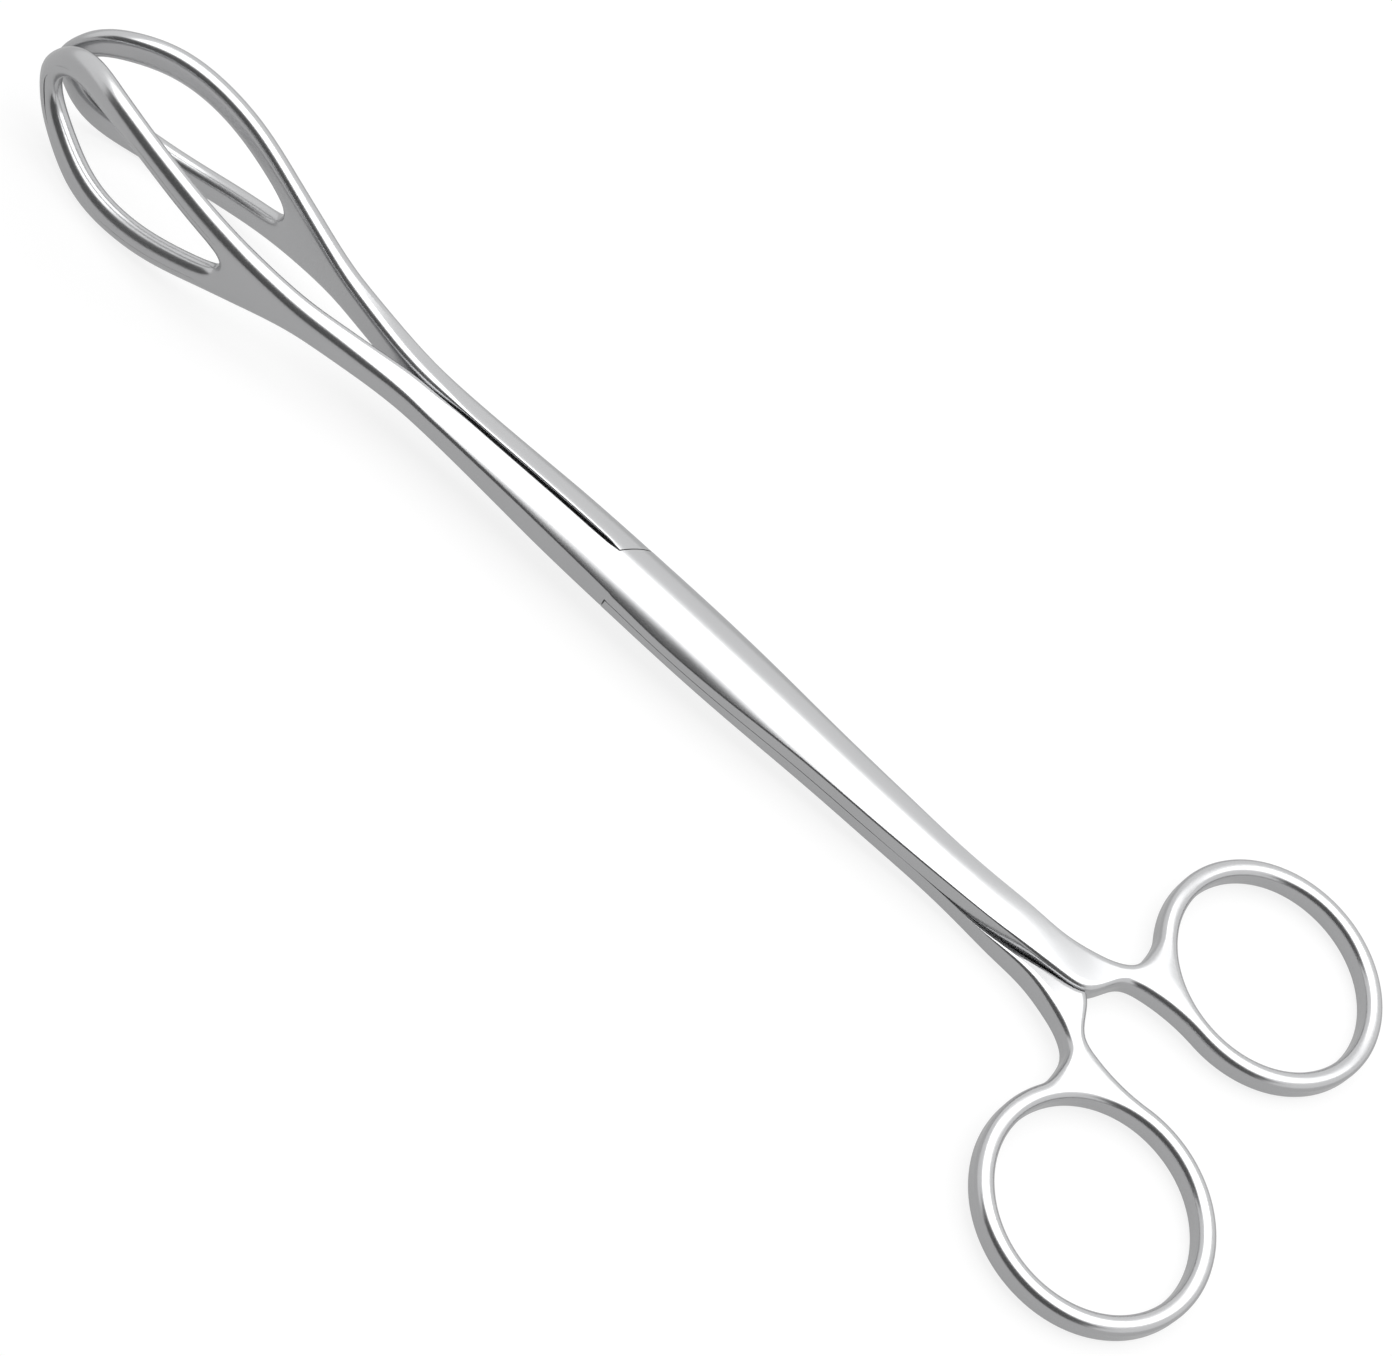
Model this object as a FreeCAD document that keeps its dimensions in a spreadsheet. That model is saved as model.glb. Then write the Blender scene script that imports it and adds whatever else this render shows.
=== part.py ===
import FreeCAD, Part
import math
import os
import Sketcher

# Ring-handled forceps with two fenestrated jaws and one lock screw, in millimetres.
# The jaws point to -x, the finger rings to +x, and the lap faces meet at z = 0. The
# upper arm has its jaw at y < 0 and its ring at y > 0. The lower arm is the same
# forging turned half a turn about the x axis. The sizes below are counted from the
# pivot. The origin lies on the centre line, in the middle of the closed pair's length.

Vector = FreeCAD.Vector
X_AXIS = Vector(1, 0, 0)
Z_AXIS = Vector(0, 0, 1)

DIMENSIONS = [
    # jaws
    ("jaw_reach", 124.0, "pivot to the jaw tip"),
    ("jaw_height", 23.6, "loop height across both rails"),
    ("jaw_bow", 8.5, "axis to the middle of the rail at the widest place"),
    ("jaw_gap", 0.3, "space between the closed tips"),
    ("rail_width", 4.7, "rail seen from the side"),
    ("rail_thick", 3.4, "rail seen from above"),
    ("window_length", 35.85, "the window, along the axis"),
    # shank in front of the lock
    ("waist_reach", 50.0, "pivot to the slim place behind the jaw"),
    ("waist_thick", 4.3, "one arm there, seen from above"),
    ("waist_height", 5.6, "one arm there, seen from the side"),
    ("edge_round", 1.6, "rounding of the jaw's outer edges"),
    ("inner_bevel", 0.8, "bevel of the jaw's inner edges"),
    ("slit_round", 1.1, "rounding along the slit between the arms at the lock"),
    ("crisp_round", 0.25, "rounding of the shank's outer edges at the lock"),
    ("arm_gap", 0.16, "slit between the two closed arms"),
    # lock
    ("lock_width", 11.6, "both arms across the pivot"),
    ("lock_height", 7.5, "both arms through the pivot"),
    ("crown_radius", 8.5, "roundness of the two outer faces"),
    ("lap_gap", 0.1, "slit between the two lap faces"),
    ("shoulder_reach", 14.5, "pivot to the inner end of the step"),
    ("shoulder_slant", 3.1, "how far the step leans back to the outer edge"),
    ("shoulder_gap", 0.12, "slit at the step"),
    ("shoulder_ledge", 0.04, "how far the lap stands proud of the shank in front of it"),
    # handles
    ("shank_width", 7.9, "the slimmest place of the shank"),
    ("shank_height", 6.3, "both arms through the slimmest place"),
    ("ring_reach", 95.8, "pivot to the ring centres, along the axis"),
    ("ring_offset", 26.2, "axis to the ring centre"),
    ("ring_hole", 31.2, "inner diameter of the finger ring"),
    ("ring_wall", 2.95, "ring seen from above"),
    ("ring_height", 4.2, "ring seen from the side"),
    # lock screw
    ("screw_shank", 4.0, "plain part of the screw"),
    ("screw_thread", 3.0, "threaded end of the screw"),
    ("screw_head", 6.4, "countersunk head"),
    ("head_land", 0.5, "straight rim of the head"),
    ("head_depth", 0.6, "how far the head's flat lies under the crown's ridge"),
    ("screw_play", 0.04, "radial clearance of the plain part in its bore"),
    ("screw_depth", 2.3, "how far the threaded end reaches over the lap plane"),
    ("thread_play", 0.02, "clearance round and above the threaded end"),
    ("slot_width", 0.9, "driver slot"),
    ("slot_depth", 0.8, "driver slot"),
]


def make_sheet(doc):
    sheet = doc.addObject("Spreadsheet::Sheet", "dimensions")
    for row, (alias, value, note) in enumerate(DIMENSIONS, start=1):
        sheet.set("A%d" % row, alias)
        sheet.set("B%d" % row, str(value))
        sheet.set("C%d" % row, note)
        sheet.setAlias("B%d" % row, alias)
    doc.recompute()
    return sheet


class Sizes:
    """The sheet's values by name."""

    def __init__(self, sheet):
        for alias, value, note in DIMENSIONS:
            setattr(self, alias, float(sheet.get(alias)))


def flat(x, y):
    return Vector(x, y, 0)


def smooth(points, first=None, last=None):
    """A curve through the points, with the end directions where they are given."""
    curve = Part.BSplineCurve()
    if first is None:
        curve.interpolate(points)
    else:
        curve.interpolate(Points=points, InitialTangent=first, FinalTangent=last)
    return curve


def prism(edges, depth, start):
    """The area inside the edges, moved by start and pushed through depth."""
    face = Part.Face(Part.Wire(edges))
    face.translate(start)
    return face.extrude(depth)


def lines(points):
    ring = points + points[:1]
    return [Part.makeLine(ring[i], ring[i + 1]) for i in range(len(points))]


def ease(share):
    share = max(0.0, min(1.0, share))
    return share * share * (3 - 2 * share)


# Jaw

def jaw_middle(d):
    """The middle line of the jaw seen from above, from the waist to the tip."""
    waist_y = d.arm_gap / 2 + d.waist_thick / 2
    tip_y = d.jaw_gap / 2 + 0.52 * d.rail_thick
    run = d.jaw_reach - d.waist_reach
    rise = d.jaw_bow - waist_y
    drop = d.jaw_bow - tip_y
    widest = 0.60
    before = [(0.0, 0.0), (0.12, 0.14), (0.28, 0.47), (0.43, 0.79)]
    behind = [(0.71, 0.07), (0.81, 0.31), (0.91, 0.71), (1.0, 1.0)]
    points = [flat(-d.waist_reach - run * s, -waist_y - rise * t) for s, t in before]
    points.append(flat(-d.waist_reach - run * widest, -d.jaw_bow))
    points += [flat(-d.waist_reach - run * s, -d.jaw_bow + drop * t) for s, t in behind]
    return smooth(points, -X_AXIS, Vector(-1, 0.36, 0))


def jaw_band(d):
    """The bowed band that the jaw is cut from, seen from above."""
    middle = jaw_middle(d)
    steps = 12
    outer = []
    inner = []
    for i in range(steps + 1):
        at = middle.FirstParameter + (middle.LastParameter - middle.FirstParameter) * i / steps
        place = middle.value(at)
        along = middle.tangent(at)[0]
        across = Vector(along.y, -along.x, 0)
        if across.y > 0:
            across = -across
        fade = ease(2.5 * i / steps)
        half = (d.waist_thick + (d.rail_thick - d.waist_thick) * fade) / 2
        outer.append(place + across * half)
        inner.append(place - across * half)
    outer.append(outer[-1] + (outer[-1] - outer[-2]))
    inner.append(inner[-1] + (inner[-1] - inner[-2]))
    edges = [smooth(outer).toShape(), Part.makeLine(outer[-1], inner[-1])]
    edges += [smooth(inner).toShape(), Part.makeLine(inner[0], outer[0])]
    return prism(edges, Vector(0, 0, 2 * d.jaw_height), Vector(0, 0, -d.jaw_height))


def loop_outline(d):
    """The outside of the jaw seen from the side, from the waist round the tip and back."""
    top = d.jaw_height / 2
    waist = d.waist_height / 2
    run = d.jaw_reach - d.waist_reach
    shape = [(0.0, 0.0), (0.12, -0.02), (0.20, -0.01), (0.28, 0.03), (0.355, 0.15), (0.432, 0.318),
             (0.51, 0.52), (0.59, 0.732), (0.676, 0.90), (0.761, 0.99), (0.85, 0.935), (0.93, 0.65)]
    upper = [(-d.waist_reach - run * s, waist + (top - waist) * t) for s, t in shape]
    nose = (-d.jaw_reach + 0.012 * run, 0.27 * top)
    points = [Vector(x, 0, z) for x, z in upper + [nose]]
    points.append(Vector(-d.jaw_reach, 0, 0))
    points += [Vector(x, 0, -z) for x, z in reversed(upper + [nose])]
    outline = smooth(points)
    return [outline.toShape(), Part.makeLine(points[-1], points[0])]


def window_outline(d):
    """The window seen from the side."""
    front = d.jaw_reach - 0.82 * d.rail_width
    rear = front - d.window_length
    top = d.jaw_height / 2 - d.rail_width
    shape = [(0.012, 0.17), (0.05, 0.31), (0.13, 0.47), (0.25, 0.67), (0.42, 0.90), (0.60, 1.0),
             (0.77, 0.90), (0.90, 0.66), (0.975, 0.34)]
    upper = [Vector(-rear - d.window_length * s, 0, top * t) for s, t in shape]
    lower = [Vector(p.x, 0, -p.z) for p in reversed(upper)]
    points = [Vector(-rear, 0, 0)] + upper + [Vector(-front, 0, 0)] + lower
    curve = Part.BSplineCurve()
    curve.interpolate(Points=points, PeriodicFlag=True)
    return [curve.toShape()]


def rim_edges(d, blank, side):
    """The long edges of the jaw's outer face, side -1, or of its inner face, side 1."""
    middle = jaw_middle(d)
    limit = -d.waist_reach - 0.01
    found = []
    for edge in blank.Edges:
        if edge.BoundBox.XMin > limit or edge.Length < 2.0:
            continue
        place = edge.valueAt((edge.FirstParameter + edge.LastParameter) / 2)
        beside = middle.value(middle.parameter(flat(place.x, place.y)))
        if (place.y - beside.y) * side > 0.35 * d.rail_thick:
            found.append(edge)
    return found


def jaw_blank(d):
    """The jaw: the bowed band, cut to the loop, pierced by the window, its edges broken."""
    wide = 4 * d.jaw_bow
    back = Vector(0, -wide / 2, 0)
    loop = prism(loop_outline(d), Vector(0, wide, 0), back)
    window = prism(window_outline(d), Vector(0, wide, 0), back)
    blank = jaw_band(d).common(loop).cut(window)
    wall = Part.Wire(loop_outline(d)).distToShape(Part.Wire(window_outline(d)))[0]
    edge_round = min(d.edge_round, 0.38 * wall)
    rounded = blank.makeFillet(edge_round, rim_edges(d, blank, -1))
    return rounded.makeChamfer(d.inner_bevel, rim_edges(d, rounded, 1))


# Shank in front of the lock

def ridge(d, x):
    """Half the height of the closed pair along the axis."""
    slim = 0.40 * d.ring_reach
    return (d.lock_height + (d.shank_height - d.lock_height) * ease(x / slim)) / 2


def crown(d, x, y):
    """Height of the outer face of the closed pair over the axis plane."""
    return ridge(d, x) - d.crown_radius + math.sqrt(d.crown_radius ** 2 - y ** 2)


def neck_share(d, x):
    """How far along the handle x lies, from the slimmest place to the neck."""
    slim = 0.40 * d.ring_reach
    neck_x = d.ring_reach - d.ring_hole / 2 - d.ring_wall
    return max(0.0, min(1.0, (x - slim) / (neck_x - slim)))


def corner(a, b, fullness, away):
    """A rounded corner from a to b that bulges away from the middle of the section."""
    chord = b - a
    side = Vector(0, -chord.z, chord.y)
    side.normalize()
    if side.dot(away) < 0:
        side = -side
    middle = (a + b) * 0.5 + side * (chord.Length * fullness)
    return Part.Arc(a, middle, b).toShape()


def front_section(x, y_in, y_out, inner, outer):
    """A cross-section of the upper arm: flat inner and outer faces, round top and bottom.

    inner and outer are (rounding, height of the side, height of the top) at each face."""
    in_round, in_side, in_top = inner
    out_round, out_side, out_top, arch = outer
    quarter = 0.207

    def half(sign):
        a = Vector(x, -y_in, sign * in_side)
        b = Vector(x, -y_in - in_round, sign * in_top)
        c = Vector(x, -y_out + out_round, sign * out_top)
        e = Vector(x, -y_out, sign * out_side)
        middle = Vector(x, (b.y + c.y) / 2, sign * arch)
        outward = Vector(0, -1, sign)
        return [corner(a, b, quarter, Vector(0, 1, sign)), Part.Arc(b, middle, c).toShape(),
                corner(c, e, quarter, outward)], a, e

    upper, top_in, top_out = half(1)
    lower, low_in, low_out = half(-1)
    edges = [Part.makeLine(low_in, top_in)] + upper + [Part.makeLine(top_out, low_out)]
    return Part.Wire(edges + lower[::-1])


def lock_half(d, x):
    """Half the width of the closed pair near the lock."""
    start = -d.waist_reach
    slim = 0.40 * d.ring_reach
    if x < 0:
        narrow = d.arm_gap / 2 + d.waist_thick
        return narrow + (d.lock_width / 2 - narrow) * ease((x - start) / -start)
    return d.lock_width / 2 + (d.shank_width - d.lock_width) / 2 * ease(x / slim)


def end_wire(shape, x):
    """The outline of the flat face that closes the shape at x."""
    for face in shape.Faces:
        if face.BoundBox.XLength < 0.001 and abs(face.CenterOfMass.x - x) < 0.001:
            return face.OuterWire


def front_shank(d, jaw):
    """The full-height half of the pair, from the end of the jaw to the step."""
    y_in = d.arm_gap / 2
    waist_top = d.waist_height / 2
    run = d.waist_reach - d.shoulder_reach - 2.0
    sections = [end_wire(jaw, -d.waist_reach)]
    for share in (0.2, 0.45, 0.72, 1.0, 1.18):
        x = -d.waist_reach + run * share
        blend = ease(share)
        y_out = lock_half(d, x) - d.shoulder_ledge * blend

        def height(y):
            return waist_top + (crown(d, x, y) - d.shoulder_ledge - waist_top) * blend

        in_round = d.inner_bevel + (d.slit_round - d.inner_bevel) * blend
        out_round = d.edge_round + (d.crisp_round - d.edge_round) * blend
        inner = (in_round, height(y_in) - in_round, height(y_in + in_round))
        out_top = height(y_out - out_round)
        arch = height((y_in + in_round + y_out - out_round) / 2) + 0.03 * (1 - blend)
        outer = (out_round, height(y_out) - out_round, out_top, arch)
        sections.append(front_section(x, y_in, y_out, inner, outer))
    return Part.makeLoft(sections, True, False)


# Handle: lap, shank, neck and finger ring

def near_edge(d):
    """The edge of the upper arm's handle on the jaw's own side, up to the neck."""
    slim = 0.40 * d.ring_reach
    neck_x = d.ring_reach - d.ring_hole / 2 - d.ring_wall
    points = []
    for x in (-d.shoulder_reach, -0.45 * d.shoulder_reach):
        points.append(flat(x, -lock_half(d, x)))
    for share in (0.0, 0.3, 0.65, 1.0):
        points.append(flat(slim * share, -lock_half(d, slim * share)))
    slope = [(0.36, 0.85), (0.70, 0.60), (0.86, 0.36)]
    for share, part in slope:
        points.append(flat(slim + (neck_x - slim) * share, -part * d.shank_width / 2))
    points.append(flat(neck_x - 0.6, 0.2))
    return points


def far_edge(d):
    """The edge of the upper arm's handle on the ring's side, up to the neck."""
    slim = 0.40 * d.ring_reach
    neck_x = d.ring_reach - d.ring_hole / 2 - d.ring_wall
    points = []
    for x in (-d.shoulder_reach, -0.45 * d.shoulder_reach):
        points.append(flat(x, lock_half(d, x)))
    for share in (0.0, 0.3, 0.65, 1.0):
        points.append(flat(slim * share, lock_half(d, slim * share)))
    slope = [(0.36, 0.88), (0.62, 0.98), (0.78, 1.18)]
    for share, part in slope:
        points.append(flat(slim + (neck_x - slim) * share, part * d.shank_width / 2))
    return points


def handle_outline(d):
    """The whole handle seen from above: lap, shank, neck and outside of the ring."""
    centre = flat(d.ring_reach, d.ring_offset)
    outer = d.ring_hole / 2 + d.ring_wall
    inside = d.ring_offset - outer
    left = d.ring_reach - outer

    def on_ring(angle):
        return centre + Vector(math.cos(angle), math.sin(angle), 0) * outer

    leave = math.radians(208)
    meet = math.radians(262)
    near = near_edge(d)
    far = far_edge(d)
    lower = [flat(left + 1.0, 0.33 * inside), flat(left + 3.2, 0.80 * inside)]
    lower.append(flat(left + 6.3, 0.965 * inside))
    lower_curve = smooth(near + lower + [on_ring(meet)], X_AXIS, X_AXIS + Vector(0, -0.14, 0))
    upper = [flat(left + 2.9, 0.50 * d.ring_offset), flat(left + 2.4, 0.39 * d.ring_offset)]
    upper += [flat(left + 0.5, 0.315 * d.ring_offset), flat(left - 3.4, 0.245 * d.ring_offset)]
    tangent = Vector(-math.sin(leave), math.cos(leave), 0)
    upper_curve = smooth([on_ring(leave)] + upper + far[::-1], tangent, -X_AXIS)
    arc = Part.Arc(on_ring(meet), on_ring(math.radians(20)), on_ring(leave)).toShape()
    close = Part.makeLine(far[0], near[0])
    return [lower_curve.toShape(), arc, upper_curve.toShape(), close]


def crown_bar(d):
    """A long bar with the crown of the closed pair, which follows the handle to the neck."""
    side = 0.96 * d.crown_radius
    low = -d.lock_height

    def section(x):
        share = neck_share(d, x)
        y = 0.115 * d.ring_offset * share ** 3
        drop = (ridge(d, x) - crown(d, x, side)) * (1 - 0.75 * ease(1.6 * share - 0.3))
        a = Vector(x, y - side, ridge(d, x) - drop)
        b = Vector(x, y + side, ridge(d, x) - drop)
        c = Vector(x, y + side, low)
        e = Vector(x, y - side, low)
        arch = Part.Arc(a, Vector(x, y, ridge(d, x)), b).toShape()
        return Part.Wire([arch, Part.makeLine(b, c), Part.makeLine(c, e), Part.makeLine(e, a)])

    front = [section(-2 * d.shoulder_reach * i / 3) for i in (3, 2, 1)]
    behind = [section(d.ring_reach * i / 10) for i in range(11)]
    return Part.makeLoft(front + behind, True, False)


def ramp(d):
    """The side view of the lap layer: level, then falling into the flat of the ring."""
    left = d.ring_reach - d.ring_hole / 2 - d.ring_wall
    top = d.lock_height
    flat_top = d.ring_height / 2
    base = d.lap_gap / 2
    start = -2 * d.shoulder_reach
    level = d.shank_height / 2
    points = [Vector(left - 22, 0, level + 0.1), Vector(left - 12, 0, level - 0.12)]
    points += [Vector(left - 3, 0, flat_top + 0.12), Vector(left + 5, 0, flat_top - 0.06)]
    fall = smooth(points, X_AXIS, X_AXIS)
    first = points[0]
    over = Vector(first.x, 0, top)
    corner = Vector(points[-1].x, 0, base)
    edges = [Part.makeLine(Vector(start, 0, top), over), Part.makeLine(over, first), fall.toShape()]
    edges += [Part.makeLine(points[-1], corner), Part.makeLine(corner, Vector(start, 0, base))]
    edges.append(Part.makeLine(Vector(start, 0, base), Vector(start, 0, top)))
    wide = 3 * d.ring_offset
    return prism(edges, Vector(0, wide, 0), Vector(0, -wide / 2, 0))


def step_cut(d, side, gap):
    """Everything on the jaw side of the slanted step line, on one side of the axis."""
    x_in = -d.shoulder_reach + gap
    half = 2 * d.lock_width
    x_out = x_in + d.shoulder_slant * half / (0.46 * d.lock_width)
    far = -4 * d.jaw_reach
    points = [flat(x_in, 0), flat(x_out, side * half), flat(far, side * half), flat(far, 0)]
    return prism(lines(points), Vector(0, 0, 4 * d.lock_height), Vector(0, 0, -2 * d.lock_height))


def lap_layer(d):
    """The flat-backed half of the stacked shank, up to the neck."""
    plan = prism(handle_outline(d), Vector(0, 0, 2 * d.lock_height), Vector(0, 0, d.lap_gap / 2))
    body = plan.common(crown_bar(d)).common(ramp(d))
    return body.cut(step_cut(d, 1, d.shoulder_gap / 2))


def ring_plate(d):
    """The full-height neck and finger ring, rounded all over."""
    left = d.ring_reach - d.ring_hole / 2 - d.ring_wall
    plan = prism(handle_outline(d), Vector(0, 0, d.ring_height), Vector(0, 0, -d.ring_height / 2))
    wide = 4 * d.ring_offset
    lean = 0.45
    on_axis = left + 0.8
    keep = [flat(on_axis + lean * wide, -wide), flat(on_axis + wide, wide), flat(on_axis - lean * wide, wide)]
    front = prism(lines(keep), Vector(0, 0, 2 * wide), Vector(0, 0, -wide))
    hole = Part.makeCylinder(d.ring_hole / 2, 2 * wide, Vector(d.ring_reach, d.ring_offset, -wide), Z_AXIS)
    plate = plan.common(front).cut(hole)
    edges = []
    for edge in plate.Edges:
        box = edge.BoundBox
        level = box.ZLength < 0.01
        if level and edge.Length > 10:
            edges.append(edge)
    return plate.makeFillet(0.46 * d.ring_wall, edges)


def arm_forging(d):
    """One arm before its screw hole is made."""
    under = step_cut(d, -1, -d.shoulder_gap / 2)
    room = Part.makeBox(8 * d.jaw_reach, 4 * d.lock_width, 2 * d.lock_height)
    room.translate(Vector(-4 * d.jaw_reach, -4 * d.lock_width, -2 * d.lock_height + d.lap_gap / 2))
    behind_step = room.cut(under)
    lap_room = Part.makeBox(4 * d.shoulder_reach, 4 * d.lock_width, 2 * d.lock_height)
    lap_room.translate(Vector(-d.shoulder_reach, -2 * d.lock_width, d.lap_gap / 2))
    jaw = jaw_blank(d)
    shank = front_shank(d, jaw).cut([behind_step, lap_room])
    arm = jaw.fuse([shank, lap_layer(d), ring_plate(d)])
    return arm.removeSplitter()


def make_blank(doc, name, shape):
    blank = doc.addObject("Part::Feature", name)
    blank.Shape = shape
    return blank


def cylinder(doc, name, radius, height, level):
    """A cylinder on the pivot axis whose sizes follow the sheet."""
    item = doc.addObject("Part::Cylinder", name)
    item.setExpression("Radius", radius)
    item.setExpression("Height", height)
    item.setExpression("Placement.Base.z", level)
    return item


def cut(doc, name, base, tool):
    item = doc.addObject("Part::Cut", name)
    item.Base = base
    item.Tool = tool
    item.Label = name
    return item


def lower_seat(doc):
    """Room for the screw in the lower arm, on the side of its crowned face."""
    head = cylinder(doc, "head_room", "dimensions.screw_head / 2 + dimensions.screw_play",
                    "dimensions.lock_height", "dimensions.lock_height / 2 - dimensions.head_depth"
                    " - dimensions.head_land")
    bore = cylinder(doc, "bore_room", "dimensions.screw_shank / 2 + dimensions.screw_play",
                    "2 * dimensions.lock_height", "-dimensions.lock_height")
    cone = doc.addObject("Part::Cone", "cone_room")
    cone.setExpression("Radius1", "dimensions.screw_shank / 2 + dimensions.screw_play")
    cone.setExpression("Radius2", "dimensions.screw_head / 2 + dimensions.screw_play")
    cone.setExpression("Height", "(dimensions.screw_head - dimensions.screw_shank) / 2")
    cone.setExpression("Placement.Base.z", "dimensions.lock_height / 2 - dimensions.head_depth"
                       " - dimensions.head_land - (dimensions.screw_head - dimensions.screw_shank) / 2")
    seat = doc.addObject("Part::MultiFuse", "screw_seat")
    seat.Shapes = [head, bore, cone]
    return seat


def plane_of(body, role):
    for item in body.Origin.OriginFeatures:
        if item.Role == role:
            return item


def make_screw(doc, d):
    """The lock screw, turned in one piece, with a slot in its head."""
    body = doc.addObject("PartDesign::Body", "lock_screw")
    body.Label = "lock_screw"
    profile = body.newObject("Sketcher::SketchObject", "screw_profile")
    profile.AttachmentSupport = [(plane_of(body, "XZ_Plane"), "")]
    profile.MapMode = "FlatFace"
    face = -d.lock_height / 2 + d.head_depth
    head = d.screw_head / 2
    plain = d.screw_shank / 2
    thread = d.screw_thread / 2
    cone_end = face + d.head_land + head - plain
    stop = d.lap_gap / 2
    end = d.screw_depth
    corners = [(0, face), (head, face), (head, face + d.head_land), (plain, cone_end), (plain, stop),
               (thread, stop), (thread, end), (0, end)]
    for i in range(len(corners)):
        a = corners[i]
        b = corners[(i + 1) % len(corners)]
        profile.addGeometry(Part.LineSegment(flat(*a), flat(*b)), False)
    count = len(corners)
    for i in range(count):
        profile.addConstraint(Sketcher.Constraint("Coincident", i, 2, (i + 1) % count, 1))
    for i in (0, 4, 6):
        profile.addConstraint(Sketcher.Constraint("Horizontal", i))
    for i in (1, 3, 5):
        profile.addConstraint(Sketcher.Constraint("Vertical", i))
    profile.addConstraint(Sketcher.Constraint("PointOnObject", 0, 1, -2))
    profile.addConstraint(Sketcher.Constraint("PointOnObject", 7, 1, -2))
    sizes = [("DistanceX", 0, 1, 0, 2, head, "dimensions.screw_head / 2"),
             ("DistanceY", 1, 1, 1, 2, d.head_land, "dimensions.head_land"),
             ("DistanceX", 7, 2, 3, 1, plain, "dimensions.screw_shank / 2"),
             ("DistanceY", 1, 2, 2, 2, head - plain, "(dimensions.screw_head - dimensions.screw_shank) / 2"),
             ("DistanceX", 7, 2, 5, 1, thread, "dimensions.screw_thread / 2")]
    for kind, g1, p1, g2, p2, value, formula in sizes:
        index = profile.addConstraint(Sketcher.Constraint(kind, g1, p1, g2, p2, value))
        profile.setExpression("Constraints[%d]" % index, formula)
    levels = [("DistanceY", 0, 1, -face, "dimensions.lock_height / 2 - dimensions.head_depth", True),
              ("DistanceY", 4, 1, stop, "dimensions.lap_gap / 2", False),
              ("DistanceY", 7, 1, end, "dimensions.screw_depth", False)]
    for kind, g, p, value, formula, below in levels:
        if below:
            rule = Sketcher.Constraint(kind, g, p, -1, 1, value)
        else:
            rule = Sketcher.Constraint(kind, -1, 1, g, p, value)
        index = profile.addConstraint(rule)
        profile.setExpression("Constraints[%d]" % index, formula)
    turned = body.newObject("PartDesign::Revolution", "turned")
    turned.Profile = profile
    turned.ReferenceAxis = (profile, ["V_Axis"])
    turned.Angle = 360
    doc.recompute()
    slot = body.newObject("Sketcher::SketchObject", "slot_profile")
    slot.AttachmentSupport = [(plane_of(body, "YZ_Plane"), "")]
    slot.MapMode = "FlatFace"
    wide = d.slot_width / 2
    deep = face + d.slot_depth
    low = face - d.slot_depth
    box = [(-wide, low), (wide, low), (wide, deep), (-wide, deep)]
    for i in range(4):
        slot.addGeometry(Part.LineSegment(flat(*box[i]), flat(*box[(i + 1) % 4])), False)
    for i in range(4):
        slot.addConstraint(Sketcher.Constraint("Coincident", i, 2, (i + 1) % 4, 1))
    slot.addConstraint(Sketcher.Constraint("Horizontal", 2))
    for i in (1, 3):
        slot.addConstraint(Sketcher.Constraint("Vertical", i))
    slot.addConstraint(Sketcher.Constraint("Symmetric", 0, 1, 0, 2, -2))
    index = slot.addConstraint(Sketcher.Constraint("DistanceX", 0, 1, 0, 2, d.slot_width))
    slot.setExpression("Constraints[%d]" % index, "dimensions.slot_width")
    index = slot.addConstraint(Sketcher.Constraint("DistanceY", 2, 1, -1, 1, -deep))
    slot.setExpression("Constraints[%d]" % index,
                       "dimensions.lock_height / 2 - dimensions.head_depth - dimensions.slot_depth")
    index = slot.addConstraint(Sketcher.Constraint("DistanceY", 1, 1, 1, 2, 2 * d.slot_depth))
    slot.setExpression("Constraints[%d]" % index, "2 * dimensions.slot_depth")
    doc.recompute()
    groove = body.newObject("PartDesign::Pocket", "driver_slot")
    groove.Profile = slot
    groove.Type = 1
    groove.Midplane = True
    body.Tip = groove
    doc.recompute()
    return body


def check(item):
    shape = item.Shape
    if shape.isNull() or not shape.isValid():
        raise RuntimeError("bad shape: " + item.Label)
    print(item.Label, len(shape.Solids), "solid", round(shape.Volume, 1), "mm3")


def main():
    os.makedirs("parts", exist_ok=True)
    doc = FreeCAD.newDocument("forceps")
    sheet = make_sheet(doc)
    d = Sizes(sheet)
    forging = arm_forging(d)
    thread_hole = cylinder(doc, "thread_hole", "dimensions.screw_thread / 2 + dimensions.thread_play",
                           "dimensions.screw_depth + dimensions.lock_height + dimensions.thread_play",
                           "-dimensions.lock_height")
    upper = cut(doc, "upper_arm", make_blank(doc, "upper_forging", forging), thread_hole)
    lower = cut(doc, "lower_arm", make_blank(doc, "lower_forging", forging), lower_seat(doc))
    lower.Placement = FreeCAD.Placement(Vector(0, 0, 0), FreeCAD.Rotation(X_AXIS, 180))
    screw = make_screw(doc, d)
    for item in (upper, lower, screw):
        item.setExpression("Placement.Base.x", "(dimensions.jaw_reach - dimensions.ring_reach"
                           " - dimensions.ring_hole / 2 - dimensions.ring_wall) / 2")
    doc.recompute()
    for item in doc.Objects:
        if "Invalid" in item.State or "Error" in item.State:
            raise RuntimeError("failed: " + item.Label)
    for item in (upper, lower, screw):
        check(item)
        item.Shape.exportStep("parts/%s.step" % item.Label)


main()
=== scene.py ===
import bpy, bmesh, math
import numpy as np
from mathutils import Vector, Matrix


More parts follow.
